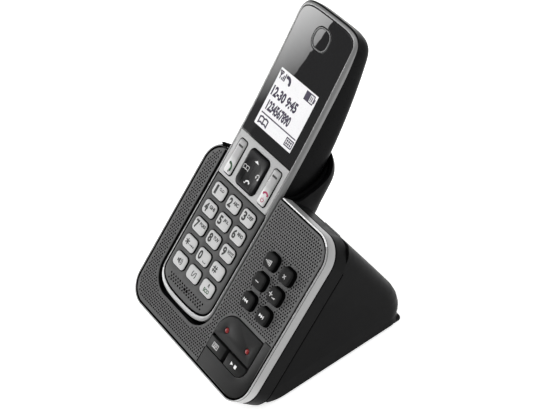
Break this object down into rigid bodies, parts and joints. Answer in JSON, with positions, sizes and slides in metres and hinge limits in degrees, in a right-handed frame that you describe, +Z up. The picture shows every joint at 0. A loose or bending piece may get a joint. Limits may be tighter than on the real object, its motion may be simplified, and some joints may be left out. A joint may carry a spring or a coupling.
{
  "type": "cordless telephone",
  "caption": "Cordless telephone: keypad handset with display standing in a leaning charging base that has an answering machine, its speaker panel and round buttons.",
  "frame": {"origin": "centre of the bounding box's underside, on the surface that the base's two foot strips stand on", "axes": "+Z up; +X to the right of a user who faces the keypad; +Y away from the user, towards the line and power sockets. The base's face leans back by 41.13 degrees from level, about X"},
  "size_m": [0.1038, 0.133, 0.1301],
  "materials": {
    "black_case": "satin moulded plastic with a fine grain",
    "speaker_panel": "grey metallic paint over a dimpled pattern",
    "silver_trim": "silver metallic paint, satin",
    "silver_controls": "silver metallic paint, brushed look",
    "chrome_ring": "bright plated",
    "keypad_face": "grey metallic paint, satin",
    "white_keys": "pale silver-grey, satin",
    "gloss_black": "polished black",
    "dark_controls": "dark grey, satin",
    "rubber_buttons": "soft black, matte",
    "rubber_parts": "dark, matte",
    "screw_steel": "plated",
    "contact_metal": "plated spring metal",
    "circuit_board": "green solder mask",
    "lamp_red": "clear red lens",
    "display": "backlit display module",
    "cell_wrap": "shrink wrap on rechargeable cells",
    "inner_grey": "plain moulded plastic"
  },
  "bodies": {
    "base": {"front_panel": "speaker_panel", "trim_band": "silver_trim", "front_housing": "black_case", "rear_housing": "black_case", "bottom_cover": "black_case", "case_screw_left": "screw_steel", "case_screw_right": "screw_steel", "front_foot_strip": "rubber_parts", "rear_foot_strip": "rubber_parts", "base_main_board": "circuit_board", "line_jack": "inner_grey", "power_jack": "black_case", "base_button_mat": "rubber_parts", "base_speaker": "inner_grey", "lamp_panel": "dark_controls", "lamp_light_guide": "lamp_red", "cradle_liner": "black_case"},
    "handset": {"handset_rear_shell": "black_case", "handset_contact_block": "contact_metal", "handset_rim": "silver_trim", "keypad_fascia": "keypad_face", "control_band": "silver_controls", "display_window": "gloss_black", "earpiece_ring": "chrome_ring", "keypad_mat": "rubber_parts", "handset_circuit_board": "circuit_board", "display_module": "display", "earpiece_speaker": "inner_grey", "handset_microphone": "screw_steel", "battery_pack": "cell_wrap"},
    "battery_cover": {"battery_cover": "black_case"},
    "locator_button": {"locator_button": "rubber_buttons"},
    "erase_button": {"erase_button": "rubber_buttons"},
    "volume_down_button": {"volume_down_button": "rubber_buttons"},
    "volume_up_button": {"volume_up_button": "rubber_buttons"},
    "skip_back_button": {"skip_back_button": "rubber_buttons"},
    "skip_forward_button": {"skip_forward_button": "rubber_buttons"},
    "message_button": {"message_button": "dark_controls"},
    "play_stop_button": {"play_stop_button": "dark_controls"},
    "charge_pin_left": {"charge_pin_left": "contact_metal"},
    "charge_pin_right": {"charge_pin_right": "contact_metal"},
    "key_1": {"key_1": "white_keys"},
    "key_2": {"key_2": "white_keys"},
    "key_3": {"key_3": "white_keys"},
    "key_4": {"key_4": "white_keys"},
    "key_5": {"key_5": "white_keys"},
    "key_6": {"key_6": "white_keys"},
    "key_7": {"key_7": "white_keys"},
    "key_8": {"key_8": "white_keys"},
    "key_9": {"key_9": "white_keys"},
    "key_star": {"key_star": "white_keys"},
    "key_0": {"key_0": "white_keys"},
    "key_hash": {"key_hash": "white_keys"},
    "key_speaker": {"key_speaker": "white_keys"},
    "key_clear": {"key_clear": "white_keys"},
    "key_eco": {"key_eco": "white_keys"},
    "talk_key": {"talk_key": "silver_controls"},
    "off_key": {"off_key": "silver_controls"},
    "pad_pivot": {"pad_pivot": "inner_grey"},
    "navigation_pad": {"navigation_pad": "gloss_black"}
  },
  "joints": [
    {"name": "handset_lift", "type": "slide", "parent": "base", "child": "handset", "axis": [0, -0.6578, 0.7532], "range_m": [0, 0.06]},
    {"name": "battery_cover_slide", "type": "slide", "parent": "handset", "child": "battery_cover", "axis": [0, -0.7532, -0.6578], "range_m": [0, 0.003]},
    {"name": "locator_button_press", "type": "slide", "parent": "base", "child": "locator_button", "axis": [0, 0.6578, -0.7532], "range_m": [0, 0.0008], "stiffness_N_per_m": 600},
    {"name": "erase_button_press", "type": "slide", "parent": "base", "child": "erase_button", "axis": [0, 0.6578, -0.7532], "range_m": [0, 0.0008], "stiffness_N_per_m": 600},
    {"name": "volume_down_button_press", "type": "slide", "parent": "base", "child": "volume_down_button", "axis": [0, 0.6578, -0.7532], "range_m": [0, 0.0008], "stiffness_N_per_m": 600},
    {"name": "volume_up_button_press", "type": "slide", "parent": "base", "child": "volume_up_button", "axis": [0, 0.6578, -0.7532], "range_m": [0, 0.0008], "stiffness_N_per_m": 600},
    {"name": "skip_back_button_press", "type": "slide", "parent": "base", "child": "skip_back_button", "axis": [0, 0.6578, -0.7532], "range_m": [0, 0.0008], "stiffness_N_per_m": 600},
    {"name": "skip_forward_button_press", "type": "slide", "parent": "base", "child": "skip_forward_button", "axis": [0, 0.6578, -0.7532], "range_m": [0, 0.0008], "stiffness_N_per_m": 600},
    {"name": "message_button_press", "type": "slide", "parent": "base", "child": "message_button", "axis": [0, 0.6578, -0.7532], "range_m": [0, 0.0008], "stiffness_N_per_m": 600},
    {"name": "play_stop_button_press", "type": "slide", "parent": "base", "child": "play_stop_button", "axis": [0, 0.6578, -0.7532], "range_m": [0, 0.0008], "stiffness_N_per_m": 600},
    {"name": "charge_pin_left_press", "type": "slide", "parent": "base", "child": "charge_pin_left", "axis": [0, -0.7532, -0.6578], "range_m": [0, 0.001], "stiffness_N_per_m": 300},
    {"name": "charge_pin_right_press", "type": "slide", "parent": "base", "child": "charge_pin_right", "axis": [0, -0.7532, -0.6578], "range_m": [0, 0.001], "stiffness_N_per_m": 300},
    {"name": "key_1_press", "type": "slide", "parent": "handset", "child": "key_1", "axis": [0, 0.6578, -0.7532], "range_m": [0, 0.0005], "stiffness_N_per_m": 400},
    {"name": "key_2_press", "type": "slide", "parent": "handset", "child": "key_2", "axis": [0, 0.6578, -0.7532], "range_m": [0, 0.0005], "stiffness_N_per_m": 400},
    {"name": "key_3_press", "type": "slide", "parent": "handset", "child": "key_3", "axis": [0, 0.6578, -0.7532], "range_m": [0, 0.0005], "stiffness_N_per_m": 400},
    {"name": "key_4_press", "type": "slide", "parent": "handset", "child": "key_4", "axis": [0, 0.6578, -0.7532], "range_m": [0, 0.0005], "stiffness_N_per_m": 400},
    {"name": "key_5_press", "type": "slide", "parent": "handset", "child": "key_5", "axis": [0, 0.6578, -0.7532], "range_m": [0, 0.0005], "stiffness_N_per_m": 400},
    {"name": "key_6_press", "type": "slide", "parent": "handset", "child": "key_6", "axis": [0, 0.6578, -0.7532], "range_m": [0, 0.0005], "stiffness_N_per_m": 400},
    {"name": "key_7_press", "type": "slide", "parent": "handset", "child": "key_7", "axis": [0, 0.6578, -0.7532], "range_m": [0, 0.0005], "stiffness_N_per_m": 400},
    {"name": "key_8_press", "type": "slide", "parent": "handset", "child": "key_8", "axis": [0, 0.6578, -0.7532], "range_m": [0, 0.0005], "stiffness_N_per_m": 400},
    {"name": "key_9_press", "type": "slide", "parent": "handset", "child": "key_9", "axis": [0, 0.6578, -0.7532], "range_m": [0, 0.0005], "stiffness_N_per_m": 400},
    {"name": "key_star_press", "type": "slide", "parent": "handset", "child": "key_star", "axis": [0, 0.6578, -0.7532], "range_m": [0, 0.0005], "stiffness_N_per_m": 400},
    {"name": "key_0_press", "type": "slide", "parent": "handset", "child": "key_0", "axis": [0, 0.6578, -0.7532], "range_m": [0, 0.0005], "stiffness_N_per_m": 400},
    {"name": "key_hash_press", "type": "slide", "parent": "handset", "child": "key_hash", "axis": [0, 0.6578, -0.7532], "range_m": [0, 0.0005], "stiffness_N_per_m": 400},
    {"name": "key_speaker_press", "type": "slide", "parent": "handset", "child": "key_speaker", "axis": [0, 0.6578, -0.7532], "range_m": [0, 0.0005], "stiffness_N_per_m": 400},
    {"name": "key_clear_press", "type": "slide", "parent": "handset", "child": "key_clear", "axis": [0, 0.6578, -0.7532], "range_m": [0, 0.0005], "stiffness_N_per_m": 400},
    {"name": "key_eco_press", "type": "slide", "parent": "handset", "child": "key_eco", "axis": [0, 0.6578, -0.7532], "range_m": [0, 0.0005], "stiffness_N_per_m": 400},
    {"name": "talk_key_rock", "type": "hinge", "parent": "handset", "child": "talk_key", "pos_m": [-0.0318, 0.00173, 0.07035], "axis": [1, 0, 0], "range_deg": [-2.5, 2.5], "stiffness_Nm_per_rad": 0.04},
    {"name": "off_key_rock", "type": "hinge", "parent": "handset", "child": "off_key", "pos_m": [-0.0018, 0.00173, 0.07035], "axis": [1, 0, 0], "range_deg": [-2.5, 2.5], "stiffness_Nm_per_rad": 0.04},
    {"name": "pad_tilt_left_right", "type": "hinge", "parent": "handset", "child": "pad_pivot", "pos_m": [-0.0168, 0.00276, 0.06939], "axis": [0, 0.7532, 0.6578], "range_deg": [-3, 3], "stiffness_Nm_per_rad": 0.04},
    {"name": "pad_tilt_up_down", "type": "hinge", "parent": "pad_pivot", "child": "navigation_pad", "pos_m": [-0.0168, 0.00276, 0.06939], "axis": [1, 0, 0], "range_deg": [-3, 3], "stiffness_Nm_per_rad": 0.04}
  ]
}
